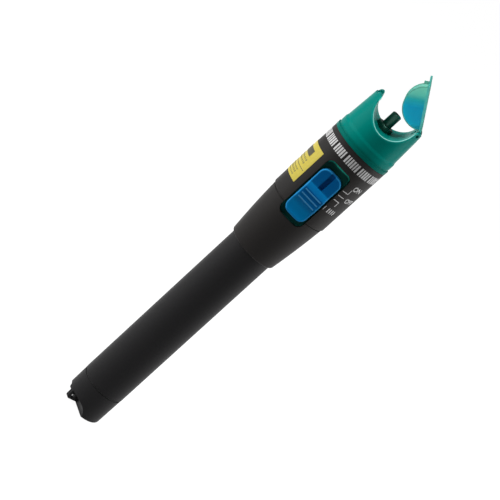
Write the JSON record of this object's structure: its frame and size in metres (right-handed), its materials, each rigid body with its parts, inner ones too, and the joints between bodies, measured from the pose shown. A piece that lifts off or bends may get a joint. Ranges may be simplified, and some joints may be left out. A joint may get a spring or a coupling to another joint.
{
  "type": "fibre optic fault locator pen",
  "caption": "Pen-type visual fault locator with slide switch, ferrule adapter in a saddle-shaped head, hinged dust cap, two cells and a screw-on tail cap.",
  "frame": {"origin": "centre of the tail cap's flat end face", "axes": "+Z along the pen toward the head, -Y toward the side with the slider, +X toward the hinge of the dust cap"},
  "size_m": [0.0262, 0.027, 0.1888],
  "materials": {
    "black_metal": "satin black anodised aluminium",
    "black_plastic": "fine matte",
    "green_plastic": "semi-gloss teal green",
    "cap_plastic": "glossy, slightly translucent teal",
    "blue_plastic": "soft satin",
    "gasket_rubber": "matte",
    "label_film": "satin vinyl",
    "contact_metal": "tinned",
    "bright_steel": "nickel plated",
    "cell_jacket": "plain printed jacket",
    "board_laminate": "solder mask",
    "resistor_ceramic": "glazed chip",
    "capacitor_can": "bare can",
    "laser_brass": "turned",
    "lens_glass": "polished",
    "dark_metal": "black plated",
    "ferrule_ceramic": "ground zirconia"
  },
  "bodies": {
    "housing": {"battery_tube": "black_metal", "tail_gasket": "gasket_rubber", "rear_cell": "cell_jacket", "front_cell": "cell_jacket", "contact_carrier": "black_plastic", "positive_contact": "contact_metal", "negative_strip": "contact_metal", "switch_housing": "black_plastic", "green_head": "green_plastic", "hinge_pin": "green_plastic", "circuit_board": "board_laminate", "board_screws": "bright_steel", "driver_chip": "black_plastic", "board_resistors": "resistor_ceramic", "board_capacitor": "capacitor_can", "slide_switch": "bright_steel", "laser_housing": "laser_brass", "laser_diode": "laser_brass", "collimating_lens": "lens_glass", "lens_retainer": "laser_brass", "adapter_sleeve": "dark_metal", "ferrule_sleeve": "ferrule_ceramic", "adapter_collar": "dark_metal", "yellow_label": "label_film"},
    "tail_cap": {"tail_cap": "black_metal", "tail_contact": "contact_metal", "battery_spring": "bright_steel"},
    "slider": {"slider_button": "blue_plastic", "switch_stem": "black_plastic"},
    "dust_cap": {"dust_cap": "cap_plastic"}
  },
  "joints": [
    {"name": "tail_cap_off", "type": "slide", "parent": "housing", "child": "tail_cap", "axis": [0, 0, -1], "range_m": [0, 0.0062]},
    {"name": "mode_slide", "type": "slide", "parent": "housing", "child": "slider", "axis": [0, 0, 1], "range_m": [-0.0018, 0.0018]},
    {"name": "cap_hinge", "type": "hinge", "parent": "housing", "child": "dust_cap", "pos_m": [0.01035, 0, 0.1705], "axis": [0, 1, 0], "range_deg": [-53.8, 60]}
  ]
}
